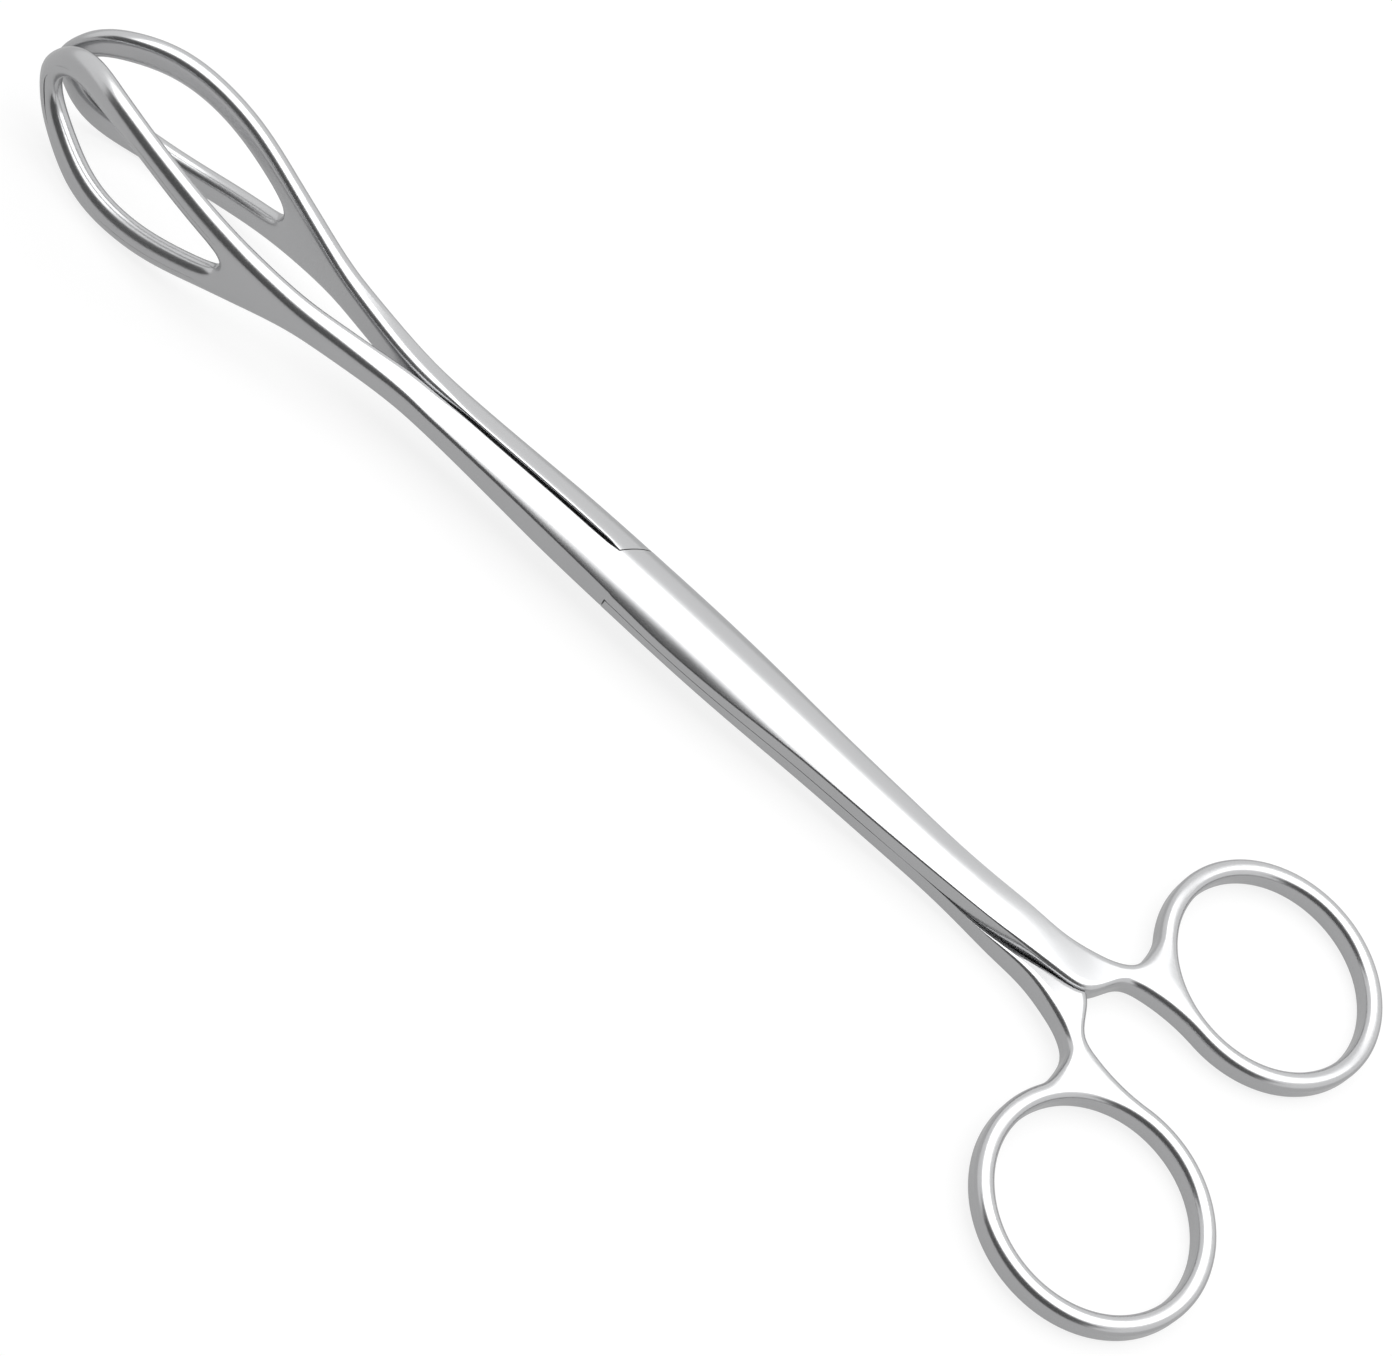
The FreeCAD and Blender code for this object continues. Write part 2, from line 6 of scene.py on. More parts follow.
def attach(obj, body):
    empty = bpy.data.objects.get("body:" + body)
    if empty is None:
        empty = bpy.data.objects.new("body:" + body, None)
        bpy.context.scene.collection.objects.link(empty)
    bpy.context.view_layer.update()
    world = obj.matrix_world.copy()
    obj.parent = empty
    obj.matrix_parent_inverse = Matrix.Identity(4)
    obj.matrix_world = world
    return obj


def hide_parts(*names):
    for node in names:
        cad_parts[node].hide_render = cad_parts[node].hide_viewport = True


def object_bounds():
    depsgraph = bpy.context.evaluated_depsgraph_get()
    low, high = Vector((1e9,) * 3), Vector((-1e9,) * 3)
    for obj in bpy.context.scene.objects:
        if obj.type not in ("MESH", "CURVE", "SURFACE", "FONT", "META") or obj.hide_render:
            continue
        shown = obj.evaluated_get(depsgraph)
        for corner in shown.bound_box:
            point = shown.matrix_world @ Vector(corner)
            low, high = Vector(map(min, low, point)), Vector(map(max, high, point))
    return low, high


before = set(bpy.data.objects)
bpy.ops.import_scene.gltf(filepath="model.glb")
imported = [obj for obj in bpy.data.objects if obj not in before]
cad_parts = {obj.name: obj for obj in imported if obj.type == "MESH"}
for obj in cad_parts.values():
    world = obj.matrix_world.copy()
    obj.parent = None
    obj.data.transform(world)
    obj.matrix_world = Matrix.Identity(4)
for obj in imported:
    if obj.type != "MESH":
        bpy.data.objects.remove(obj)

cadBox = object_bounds()


# shader maths as plain Python expressions
class Sock:
    def __init__(self, shader, socket):
        self.shader = shader
        self.socket = socket

    def make(self, operation, other=None, clamp=False):
        settings = {"operation": operation, "use_clamp": clamp}
        inputs = {0: self} if other is None else {0: self, 1: other}
        return self.shader.node("ShaderNodeMath", settings, inputs)

    def __add__(self, other):
        return self.make("ADD", other)

    def __mul__(self, other):
        return self.make("MULTIPLY", other)

    def __pow__(self, other):
        return self.make("POWER", other)

    __radd__ = __add__
    __rmul__ = __mul__

    def sine(self):
        return self.make("SINE")

    def clamp(self):
        return self.make("ADD", 0.0, clamp=True)


class Shader:
    def __init__(self, name, tree=None):
        self.material = None
        if tree is None:
            self.material = bpy.data.materials.new(name)
            self.material.use_nodes = True
            tree = self.material.node_tree
        self.tree = tree
        self.tree.nodes.clear()

    # makes one node: settings first, then the values or links of its sockets
    def node(self, kind, settings=None, inputs=None, output=0):
        made = self.tree.nodes.new(kind)
        for key, value in (settings or {}).items():
            setattr(made, key, value)
        for key, value in (inputs or {}).items():
            if isinstance(value, Sock):
                self.tree.links.new(value.socket, made.inputs[key])
            else:
                made.inputs[key].default_value = value
        return Sock(self, made.outputs[output]) if len(made.outputs) else None

    def other(self, sock, output):
        return Sock(self, sock.socket.node.outputs[output])

    def place(self, scale=(1, 1, 1), move=(0, 0, 0)):
        coords = self.node("ShaderNodeTexCoord", output="Object")
        return self.node("ShaderNodeMapping", inputs={"Vector": coords, "Scale": scale, "Location": move})

    def noise(self, vector, scale, detail, rough):
        inputs = {"Vector": vector, "Scale": scale, "Detail": detail, "Roughness": rough}
        return self.node("ShaderNodeTexNoise", inputs=inputs)

    def mix(self, factor, a, b):
        inputs = {0: factor, 6: (*a, 1), 7: (*b, 1)}
        return self.node("ShaderNodeMix", {"data_type": "RGBA"}, inputs, output=2)

    # 1 for rays that a surface mirrors or lets through, 0 for all others
    def mirrored(self):
        path = self.node("ShaderNodeLightPath", output="Is Glossy Ray")
        return (path + self.other(path, "Is Transmission Ray")).clamp()

    def bump(self, height, distance, under=None):
        inputs = {"Height": height, "Distance": distance, "Strength": 1.0}
        if under is not None:
            inputs["Normal"] = under
        return self.node("ShaderNodeBump", inputs=inputs)

    def glow(self, strength):
        return self.node("ShaderNodeEmission", inputs={"Color": (1, 1, 1, 1), "Strength": strength})

    # a metal whose colour, roughness and relief vary over the surface
    def metal(self, color, rough, relief):
        inputs = {"Base Color": color, "Metallic": 1.0, "Roughness": rough, "Normal": relief}
        return self.finish(self.node("ShaderNodeBsdfPrincipled", inputs=inputs))

    def finish(self, surface, output="ShaderNodeOutputMaterial"):
        self.node(output, inputs={"Surface": surface})
        return self.material


# satin stainless steel of the two arms; each pattern gives its scale, detail and roughness
steelLook = {
    "pale": (0.560, 0.562, 0.568),
    "dull": (0.505, 0.508, 0.516),
    "roughLow": 0.20,
    "roughHigh": 0.30,
    "grain": (2600.0, 4, 0.6),        # fine polishing grain, drawn out along the arm
    "grainStretch": (0.05, 1, 1),
    "grainShare": 0.4,
    "grainHeight": 0.0000012,
    "cloud": (60, 3, 0.55),           # slight unevenness left by hand polishing
    "cloudHeight": 0.000012,
    "smear": (260, 3, 0.5),           # broader strokes, seen only in the gloss
    "smearStretch": (0.3, 1, 1),
}


def steelMaterial():
    look = steelLook
    s = Shader("satinSteel")
    grain = s.noise(s.place(scale=look["grainStretch"]), *look["grain"])
    cloud = s.noise(s.place(), *look["cloud"])
    smear = s.noise(s.place(scale=look["smearStretch"]), *look["smear"])
    share = look["grainShare"]
    color = s.mix(cloud * (1 - share) + grain * share, look["dull"], look["pale"])
    spread = look["roughHigh"] - look["roughLow"]
    rough = (smear * (1 - share) + grain * share) * spread + look["roughLow"]
    fine = s.bump(grain, look["grainHeight"])
    return s.metal(color, rough, s.bump(cloud, look["cloudHeight"], fine))


# turned steel of the lock screw
screwLook = {
    "pale": (0.60, 0.60, 0.61),
    "dull": (0.50, 0.50, 0.51),
    "ringScale": 42000.0,             # turning marks, in radians per metre
    "ringHeight": 0.0000015,
    "speck": (1800, 3, 0.6),
    "speckRough": 0.1,
    "roughness": 0.22,
}


def screwMaterial():
    look = screwLook
    s = Shader("turnedSteel")
    p = s.place(move=(-armSize["pivot"] / 1000, 0, 0))
    x = s.node("ShaderNodeSeparateXYZ", inputs={0: p})
    y = s.other(x, 1)
    radius = (x * x + y * y) ** 0.5
    rings = (radius * look["ringScale"]).sine()
    speck = s.noise(p, *look["speck"])
    color = s.mix(speck, look["dull"], look["pale"])
    rough = speck * look["speckRough"] + look["roughness"]
    return s.metal(color, rough, s.bump(rings, look["ringHeight"]))


# one arm in millimetres from the pivot: x is positive towards the ring
armSize = {
    "pivot": 4.825,                   # x of the pivot, seen from the origin
    "jawReach": 124.0, "jawHeight": 23.6, "jawBow": 8.5, "jawGap": 0.3,
    "railWidth": 4.7, "railThick": 3.4, "windowEnd": 84.3, "windowMiddle": 102.0,
    "waistReach": 50.0, "waistThick": 4.3, "waistHeight": 5.6,
    "webX": 79.0,                     # where the rails have joined
    "lockWidth": 11.6, "lockHeight": 7.5, "armGap": 0.16, "lapGap": 0.1, "slitOpen": 0.24,
    "shoulderReach": 14.5, "shoulderSlant": 3.1, "shoulderGap": 0.2,
    "shankWidth": 7.9, "shankHeight": 6.3,
    "ringReach": 95.8, "ringOffset": 26.2, "ringHole": 31.2, "ringWall": 2.95, "ringHeight": 4.2,
    "crownRadius": 8.5, "frontCrown": 8.2,
    # roundings: rails, front shank, its slit, the step of the lock, crisp edges of the handle
    "edgeRound": 1.9, "innerRound": 1.35, "railOval": 1.18, "frontRound": 0.5,
    "slitRound": 1.1, "slitEdge": 0.35, "stepEdge": 0.12, "crispRound": 0.25,
    # shares of other sizes
    "tipShare": 0.52, "tipWall": 0.82, "slimShare": 0.40, "slantShare": 0.46, "ringRound": 0.46,
    "crownLoss": 0.75, "crownDrift": 0.115, "lowRound": 0.66,
    # stretches of x over which one form passes into the next
    "crownStart": (-72.0, -46.0), "crownWiden": (-34.0, -17.0),
    "slitStart": (-52.0, -42.0), "slitFade": 2.5, "stepStart": (-20.5, -14.5),
    "leanStart": -26.0, "leanLength": 14.0, "lockRise": 2.0,
    "middleMove": (0.0, 40.0), "wallMove": (42.0, 54.0), "wallEnd": 76.0, "wallLeast": 0.5,
    "stripFall": (56.0, 75.5), "cornerGrow": (58.0, 79.0), "ringFall": (62.0, 77.5),
    # the jaw's middle line, its side outline and its window, as shares of the run and of the rise
    "bowOut": ((0, 0), (0.12, 0.14), (0.28, 0.47), (0.43, 0.79)), "bowMost": 0.60,
    "bowIn": ((0.71, 0.07), (0.81, 0.31), (0.91, 0.71), (1.0, 1.0)), "tipSlope": 0.36, "thinRate": 2.5,
    "side": ((0.0, 0.0), (0.12, -0.02), (0.20, -0.01), (0.28, 0.03), (0.355, 0.15), (0.432, 0.318),
             (0.51, 0.52), (0.59, 0.732), (0.676, 0.90), (0.761, 0.99), (0.85, 0.935), (0.93, 0.65)),
    "tipEnd": (0.012, 0.27),
    "window": ((0.012, 0.17), (0.05, 0.31), (0.13, 0.47), (0.25, 0.67), (0.42, 0.90),
               (0.60, 1.0), (0.77, 0.90), (0.90, 0.66), (0.975, 0.34)),
    # plan outlines of the handle, on the jaw's side (near) and on the ring's side (far)
    "lockShares": (1.05, -0.30), "shankShares": (0.0, 0.3, 0.65, 1.0),
    "nearShank": ((0.36, 0.85), (0.70, 0.60), (0.86, 0.36)), "nearStep": (-0.6, 0.2),
    "nearNeck": ((1.0, 0.33), (3.2, 0.80), (6.3, 0.965)),
    "farShank": ((0.36, 0.88), (0.62, 0.98), (0.78, 1.18)),
    "farNeck": ((-3.4, 0.245), (0.5, 0.315), (2.4, 0.39), (2.9, 0.50)),
    "ringMeet": 262, "ringLeave": 208, "meetSlope": -0.14,
    "nearMarks": ((58, -3), (77.6, 1.0), (80.6, 6.2)), "farMarks": ((58, 3.6), (74.9, 6.9), (79.3, 9.8)),
    # how fine the mesh is
    "cornerSteps": 6, "archSteps": 8, "faceSteps": 5, "middleSteps": 5, "holeSteps": 2,
    "jawSections": 84, "webSections": 40, "waistSections": 50, "handleSections": (110, 60, 22),
    "ringSections": 190, "windowSteps": 800, "profileSteps": 3000, "searchSteps": 4000, "edgeSteps": 1500,
}


def ease(share):
    share = np.clip(share, 0.0, 1.0)
    return share * share * (3 - 2 * share)


# 0 before a stretch of x, 1 behind it
def passed(x, stretch):
    return ease((x - stretch[0]) / (stretch[1] - stretch[0]))


def between(a, b, share):
    return a + (b - a) * share


# rows of directions, each made 1 long
def unit(rows):
    return rows / np.linalg.norm(rows, axis=1)[:, None]


# a smooth curve through points, closed or with its end directions given
class Curve:
    def __init__(self, points, first=None, last=None):
        p = np.array(points, float)
        if first is None:
            p = np.vstack([p, p[:1]])
        step = np.linalg.norm(np.diff(p, axis=0), axis=1)
        n = len(p)
        a = np.zeros((n, n))
        b = np.zeros((n, p.shape[1]))

        def bend(before, after, back, here, ahead):
            return 3 * (after * (here - back) / before + before * (ahead - here) / after)

        for i in range(1, n - 1):
            a[i, i - 1] = step[i]
            a[i, i] = 2 * (step[i - 1] + step[i])
            a[i, i + 1] = step[i - 1]
            b[i] = bend(step[i - 1], step[i], p[i - 1], p[i], p[i + 1])
        if first is None:
            a[0, 0] = 2 * (step[-1] + step[0])
            a[0, 1] = step[-1]
            a[0, n - 2] = step[0]
            b[0] = bend(step[-1], step[0], p[n - 2], p[0], p[1])
            a[n - 1, n - 1] = 1
            a[n - 1, 0] = -1
        else:
            a[0, 0] = a[n - 1, n - 1] = 1
            b[0] = np.array(first) / np.linalg.norm(first)
            b[n - 1] = np.array(last) / np.linalg.norm(last)
        self.t = np.concatenate([[0], np.cumsum(step)])
        self.p, self.m = p, np.linalg.solve(a, b)

    # points at these distances along the curve, or its slope there
    def at(self, where, slope=False):
        where = np.atleast_1d(where)
        i = np.clip(np.searchsorted(self.t, where, side="right") - 1, 0, len(self.t) - 2)
        h = (self.t[i + 1] - self.t[i])[:, None]
        u = ((where - self.t[i]) / h[:, 0])[:, None]
        ends = (self.p[i], self.m[i] * h, self.p[i + 1], self.m[i + 1] * h)
        if slope:
            shares = (6 * u * u - 6 * u, 3 * u * u - 4 * u + 1, 6 * u - 6 * u * u, 3 * u * u - 2 * u)
            return sum(share * end for share, end in zip(shares, ends)) / h
        shares = (2 * u ** 3 - 3 * u * u + 1, u ** 3 - 2 * u * u + u, 3 * u * u - 2 * u ** 3, u ** 3 - u * u)
        return sum(share * end for share, end in zip(shares, ends))


# a quarter round in steps: share of the inward run, share of the fall
def quarter(steps):
    angle = np.linspace(0, math.pi / 2, steps + 1)
    return 1 - np.sin(angle), 1 - np.cos(angle)


class Arm:
    def __init__(self, size):
        self.d = size
        self.faces = []
        self.points = []
        self.slimX = size["slimShare"] * size["ringReach"]
        self.bandLines()
        self.jawCurves()

    # outer and inner face of the jaw's bowed band, in plan
    def bandLines(self):
        d = self.d
        samples, overrun = 160, 3
        run = d["jawReach"] - d["waistReach"]
        waistY = d["armGap"] / 2 + d["waistThick"] / 2
        tipY = d["jawGap"] / 2 + d["tipShare"] * d["railThick"]
        rise, drop = d["jawBow"] - waistY, d["jawBow"] - tipY
        middle = [(-d["waistReach"] - run * s, -waistY - rise * t) for s, t in d["bowOut"]]
        middle.append((-d["waistReach"] - run * d["bowMost"], -d["jawBow"]))
        middle += [(-d["waistReach"] - run * s, -d["jawBow"] + drop * t) for s, t in d["bowIn"]]
        line = Curve(middle, (-1, 0), (-1, d["tipSlope"]))
        t = np.linspace(0, line.t[-1], samples)
        at, along = line.at(t), unit(line.at(t, True))
        across = np.stack([along[:, 1], -along[:, 0]], 1)
        across[across[:, 1] > 0] *= -1
        half = between(d["waistThick"], d["railThick"], ease(d["thinRate"] * t / t[-1])) / 2
        outer, inner = at + across * half[:, None], at - across * half[:, None]
        outer = np.vstack([outer, outer[-1] + overrun * (outer[-1] - outer[-2])])
        inner = np.vstack([inner, inner[-1] + overrun * (inner[-1] - inner[-2])])
        self.outerLine, self.innerLine = outer[::-1], inner[::-1]

    # side outline of the jaw and its window
    def jawCurves(self):
        d = self.d
        top, waist = d["jawHeight"] / 2, d["waistHeight"] / 2
        run = d["jawReach"] - d["waistReach"]
        upper = [(-d["waistReach"] - run * s, waist + (top - waist) * t) for s, t in d["side"]]
        upper.append((-d["jawReach"] + d["tipEnd"][0] * run, d["tipEnd"][1] * top))
        lower = [(x, -z) for x, z in upper[::-1]]
        self.loop = Curve(upper + [(-d["jawReach"], 0)] + lower, (-1, 0), (1, 0))
        front = d["jawReach"] - d["tipWall"] * d["railWidth"]
        run, high = front - d["windowEnd"], top - d["railWidth"]
        upper = [(-d["windowEnd"] - run * s, high * t) for s, t in d["window"]]
        lower = [(x, -z) for x, z in upper[::-1]]
        self.window = Curve([(-d["windowEnd"], 0)] + upper + [(-front, 0)] + lower)

    # outer and inner face of the jaw's band, as -y over x
    def outFace(self, x):
        return -np.interp(x, self.outerLine[:, 0], self.outerLine[:, 1])

    def inFace(self, x):
        return -np.interp(x, self.innerLine[:, 0], self.innerLine[:, 1])

    def ridge(self, x):
        d = self.d
        return between(d["lockHeight"], d["shankHeight"], passed(x, (0, self.slimX))) / 2

    def crownDrop(self, y):
        r, least = self.d["crownRadius"], 1.0
        return r - np.sqrt(np.maximum(r * r - y * y, least))

    # from the middle line to the side of the lock and of the shanks
    def lockHalf(self, x):
        d = self.d
        narrow, wide = d["armGap"] / 2 + d["waistThick"], d["lockWidth"] / 2
        front = between(narrow, wide, passed(x, (-d["waistReach"], 0)))
        back = between(d["lockWidth"], d["shankWidth"], passed(x, (0, self.slimX))) / 2
        return np.where(x < 0, front, back)

    # how far the slanted step of the lock moves a section at a distance y from the middle
    def slant(self, lean, y):
        d = self.d
        return lean * d["shoulderSlant"] / (d["slantShare"] * d["lockWidth"]) * y

    # a grid of points becomes quads; closed joins its last column to its first
    def grid(self, rows, closed=False):
        rows = np.asarray(rows)
        start = sum(len(p) for p in self.points)
        n, m = rows.shape[:2]
        self.points.append(rows.reshape(-1, 3))
        for i in range(n - 1):
            here, after = start + i * m, start + (i + 1) * m
            for j in range(m if closed else m - 1):
                k = (j + 1) % m
                self.faces.append((here + j, here + k, after + k, after + j))

    def cap(self, outline):
        start = sum(len(p) for p in self.points)
        self.points.append(np.asarray(outline))
        self.faces.append(tuple(range(start, start + len(outline))))

    # points of a rim from the high face, round its two edges, to the low face
    def rim(self, place, inward, high, low, roundHigh, roundLow, flat, wide=1.0):
        run, fall = quarter(self.d["cornerSteps"])
        upper, lower = [], []
        for r, f in zip(run, fall):
            q = place + inward * (roundHigh * wide * r)
            upper.append((q[0], q[1], high(*q) - roundHigh * f))
        for r, f in zip(run[::-1], fall[::-1]):
            q = place + inward * (roundLow * r)
            lower.append((q[0], q[1], low(*q) + roundLow * f))
        top, bottom = upper[-1][2], lower[0][2]
        wall = [(place[0], place[1], top + (bottom - top) * i / flat) for i in range(1, flat)]
        return np.array(upper + wall + lower)

    # rows of a pierced plate: low face, rim of the opening, high face, then the outside rim if it has one
    def plate(self, hole, holeIn, high, low, rounds, farHigh, farLow, rims, turn, wide=1.0):
        share = np.linspace(0, 1, self.d["middleSteps"] + 1)[:, None]

        def across(a, b, height):
            return np.array([(x, y, height(x, y)) for x, y in between(a, b, share)])

        rows = []
        for i in range(len(hole)):
            inner = self.rim(hole[i], holeIn[i], high, low, *rounds, self.d["holeSteps"], wide)
            overHigh = across(inner[0, :2], farHigh[i], high)[1:]
            overLow = across(farLow[i], inner[-1, :2], low)[:-1]
            row = [overLow, inner[::-1], overHigh]
            if rims is not None:
                row = [overLow, inner[::-1], overHigh[:-1], rims[i][:-1]]
            rows.append(turn(np.vstack(row)))
        return rows

    # directions square to a line, on the side to which the given ones point
    def sideways(self, along, side):
        across = unit(np.stack([along[:, 1], -along[:, 0]], 1))
        across[(across * side).sum(1) < 0] *= -1
        return across

    def jaw(self):
        d = self.d
        steps, count, wide = d["faceSteps"], d["jawSections"], d["railOval"]
        webBlend, ovalBlend, askew, calm, late = 10.0, 12, 3, 6, 4
        xc, middle = -d["webX"], (-d["windowMiddle"], 0)
        rounds = (d["edgeRound"], d["innerRound"])
        high = lambda x, z: float(self.outFace(x))
        low = lambda x, z: float(self.inFace(x))
        turn = lambda row: np.stack([row[:, 0], -row[:, 2], row[:, 1]], 1)
        t = np.linspace(0, self.loop.t[-1], d["searchSteps"])
        cut = t[np.argmax(self.loop.at(t)[:, 0] < xc)]
        share = np.linspace(cut, self.loop.t[-1] / 2, count)
        edge, slope = self.loop.at(share), self.loop.at(share, True)
        inward = unit(np.stack([-slope[:, 1], slope[:, 0]], 1))
        blend = ease(np.arange(count) / webBlend)[:, None]
        inward = unit(inward * blend + np.array([0, -1]) * (1 - blend))
        edge[0, 0] = xc
        edge[-1], inward[-1] = (-d["jawReach"], 0), (1, 0)
        rims = []
        for i in range(count):
            oval = 1 + (wide - 1) * ease(i / ovalBlend)
            rims.append(self.rim(edge[i], inward[i], high, low, *rounds, d["archSteps"], oval))
        # each point of the outside finds the window point that faces it
        w = np.linspace(0, self.window.t[-1] / 2, d["windowSteps"])
        at = self.window.at(w)
        out = self.sideways(self.window.at(w, True), at - middle)
        out[0], out[-1] = (1, 0), (-1, 0)

        def facing(p):
            gap = p - at
            far = np.linalg.norm(gap, axis=1)
            return np.argmin(far * (1 + askew * (1 - (gap * out).sum(1) / far)))

        index = np.maximum.accumulate([float(facing(p)) for p in edge])
        blur = np.ones(2 * calm + 1) / (2 * calm + 1)
        index = np.convolve(np.pad(index, calm, mode="edge"), blur, mode="valid")
        index += (len(w) - 1 - index[-1]) * np.linspace(0, 1, count) ** late
        both = np.concatenate([np.linspace(0, index[0], steps + 1), index[1:]]) / (len(w) - 1) * w[-1]
        hole = self.window.at(both)
        holeIn = self.sideways(self.window.at(both, True), hole - middle)
        hole[0], holeIn[0], holeIn[-1] = (-d["windowEnd"], 0), (1, 0), (-1, 0)
        hole[-1, 1] = 0
        # the web behind the window, then the rails round it
        up = np.linspace(0, 1, steps + 1)[:, None]
        seam = np.full((steps + 1, 1), xc)
        farHigh, farLow = np.hstack([seam, up * rims[0][0, 1]]), np.hstack([seam, up * rims[0][-1, 1]])
        near = slice(0, steps + 1)
        web = self.plate(hole[near], holeIn[near], high, low, rounds, farHigh, farLow, None, turn, wide)
        farHigh, farLow = [r[0, :2] for r in rims], [r[-1, :2] for r in rims]
        rest = slice(steps, None)
        rails = self.plate(hole[rest], holeIn[rest], high, low, rounds, farHigh, farLow, rims, turn, wide)
        for side in (1, -1):
            self.grid([row * (1, 1, side) for row in web])
            self.grid([row * (1, 1, side) for row in rails], closed=True)
        rim = turn(rims[0])
        outer = np.array([row[-1] for row in web])
        inner = np.array([row[0] for row in web])
        return self.join(rim, outer, inner, rim * (1, 1, -1), outer * (1, 1, -1), inner * (1, 1, -1))

    # the closed section of the front shank: upper rim, inner face, lower rim, outer face
    def join(self, rim, outer, inner, lowRim, lowOuter, lowInner):
        return np.vstack([rim, inner[-2::-1], lowInner[1:-1], lowRim[::-1], lowOuter[-2::-1], outer[1:-1]])

    def frontRing(self, x, lean):
        d = self.d
        arch, steps = d["archSteps"], d["faceSteps"]
        lap = d["lapGap"] / 2 * lean
        shoulder = -d["shoulderReach"]
        blend = passed(x, (-d["waistReach"], shoulder - d["lockRise"]))
        opened = passed(x, d["slitStart"]) * passed(x, (shoulder, shoulder - d["slitFade"]))
        slit = d["slitOpen"] * opened
        if x > -d["waistReach"]:
            out, near, waistTop = float(self.lockHalf(x)), d["armGap"] / 2, d["waistHeight"] / 2
        else:
            out, near = float(self.outFace(x)), float(self.inFace(x))
            waistTop = float(np.interp(-x, -self.loopLine[:, 0], self.loopLine[:, 1]))
        near += slit
        crowned = passed(x, d["crownStart"])
        radius = between(d["frontCrown"], d["crownRadius"], passed(x, d["crownWiden"]))
        roundOut = between(between(d["edgeRound"], d["frontRound"], crowned), d["crispRound"], blend)
        roundIn = between(between(d["innerRound"], d["slitRound"], blend), d["slitEdge"], opened)
        roundIn = between(roundIn, d["stepEdge"], passed(x, d["stepStart"]))

        def height(y):
            sideways = y - near + d["armGap"] / 2 + slit
            drop = radius - math.sqrt(radius * radius - sideways * sideways)
            return between(waistTop, self.ridge(x), blend) - drop * crowned

        run, fall = quarter(d["cornerSteps"])
        start, end = out - roundOut, near + roundIn
        upper = [(y, height(y) - roundOut * r) for r, y in zip(run, out - roundOut * fall)]
        upper += [(y, height(y)) for y in start + (end - start) * np.arange(1, arch) / arch]
        upper += [(y, height(y) - roundIn * r) for r, y in zip(run[::-1], near + roundIn * fall[::-1])]
        upper = np.array(upper)
        share = np.linspace(0, 1, steps + 1)

        def place(y, z):
            return np.stack([x + self.slant(lean, y), -y, z], 1)

        def wall(y, z):
            return place(np.full(steps + 1, y), between(lap, z, share))

        rim = place(upper[:, 0], upper[:, 1])
        outer, inner = wall(out, upper[0, 1]), wall(near, upper[-1, 1])
        lowOuter, lowInner = wall(out, -upper[0, 1]), wall(near, -upper[-1, 1])
        return rim, outer, inner, rim * (1, 1, -1), lowOuter, lowInner

    # the shank from the web of the jaw to the step of the lock
    def front(self, first):
        d = self.d
        self.loopLine = self.loop.at(np.linspace(0, self.loop.t[-1] / 2, d["profileSteps"]))
        toWaist = np.linspace(-d["webX"], -d["waistReach"], d["webSections"])[1:]
        toStep = np.linspace(-d["waistReach"], -d["shoulderReach"], d["waistSections"])[1:]
        rings = [first]
        for x in np.concatenate([toWaist, toStep]):
            parts = self.frontRing(x, float(passed(x, (d["leanStart"], -d["shoulderReach"]))))
            rings.append(self.join(*parts))
        self.grid(rings, closed=True)
        return parts

    # plan outlines of the handle, on the jaw's side and on the ring's side
    def outlines(self):
        d = self.d
        slim, half = self.slimX, d["shankWidth"] / 2
        outer = d["ringHole"] / 2 + d["ringWall"]
        left, offset = d["ringReach"] - outer, d["ringOffset"]
        inside = offset - outer
        slantShare, lockShare = d["lockShares"]
        xs = [-d["shoulderReach"] + d["shoulderSlant"] * slantShare, lockShare * d["shoulderReach"]]
        xs += [slim * s for s in d["shankShares"]]
        near = [(x, -float(self.lockHalf(x))) for x in xs]
        near += [(slim + (left - slim) * s, -w * half) for s, w in d["nearShank"]]
        near.append((left + d["nearStep"][0], d["nearStep"][1]))
        near += [(left + x, w * inside) for x, w in d["nearNeck"]]
        far = [(x, float(self.lockHalf(x))) for x in xs]
        far += [(slim + (left - slim) * s, w * half) for s, w in d["farShank"]]
        far += [(left + x, w * offset) for x, w in d["farNeck"]]
        self.centre = np.array([d["ringReach"], offset])
        self.onRing = lambda a: self.centre + outer * np.stack([np.cos(a), np.sin(a)], -1)
        meet, leave = math.radians(d["ringMeet"]), math.radians(d["ringLeave"])
        near.append(tuple(self.onRing(meet)))
        far.append(tuple(self.onRing(leave)))
        self.near = Curve(near, (1, 0), (1, d["meetSlope"]))
        self.far = Curve(far, (1, 0), (math.sin(leave), -math.cos(leave)))

    def closest(self, curve, point):
        t = np.linspace(0, curve.t[-1], self.d["searchSteps"])
        return t[np.argmin(np.linalg.norm(curve.at(t) - point, axis=1))]

    # section of the handle between its two outlines, far to near: the crowned top, the strip that comes
    # down beside the other arm, and from wall to the near side the lap face
    def handleRing(self, n, f, lean, top, corner, centre, lap, wall, deep):
        arch, steps = self.d["archSteps"], self.d["faceSteps"]
        width = float(np.linalg.norm(f - n))
        run, fall = quarter(self.d["cornerSteps"])
        down, up = list(zip(run, fall)), list(zip(run[::-1], fall[::-1]))

        def place(pairs):
            g, z = np.array(pairs, float).T
            q = n + (f - n) * (g / width)[:, None]
            q[:, 0] -= self.slant(lean, abs(n[1]) - np.abs(q[:, 1]))
            return np.stack([q[:, 0], q[:, 1], z], 1)

        def height(g):
            return float(top((n + (f - n) * (g / width))[1]))

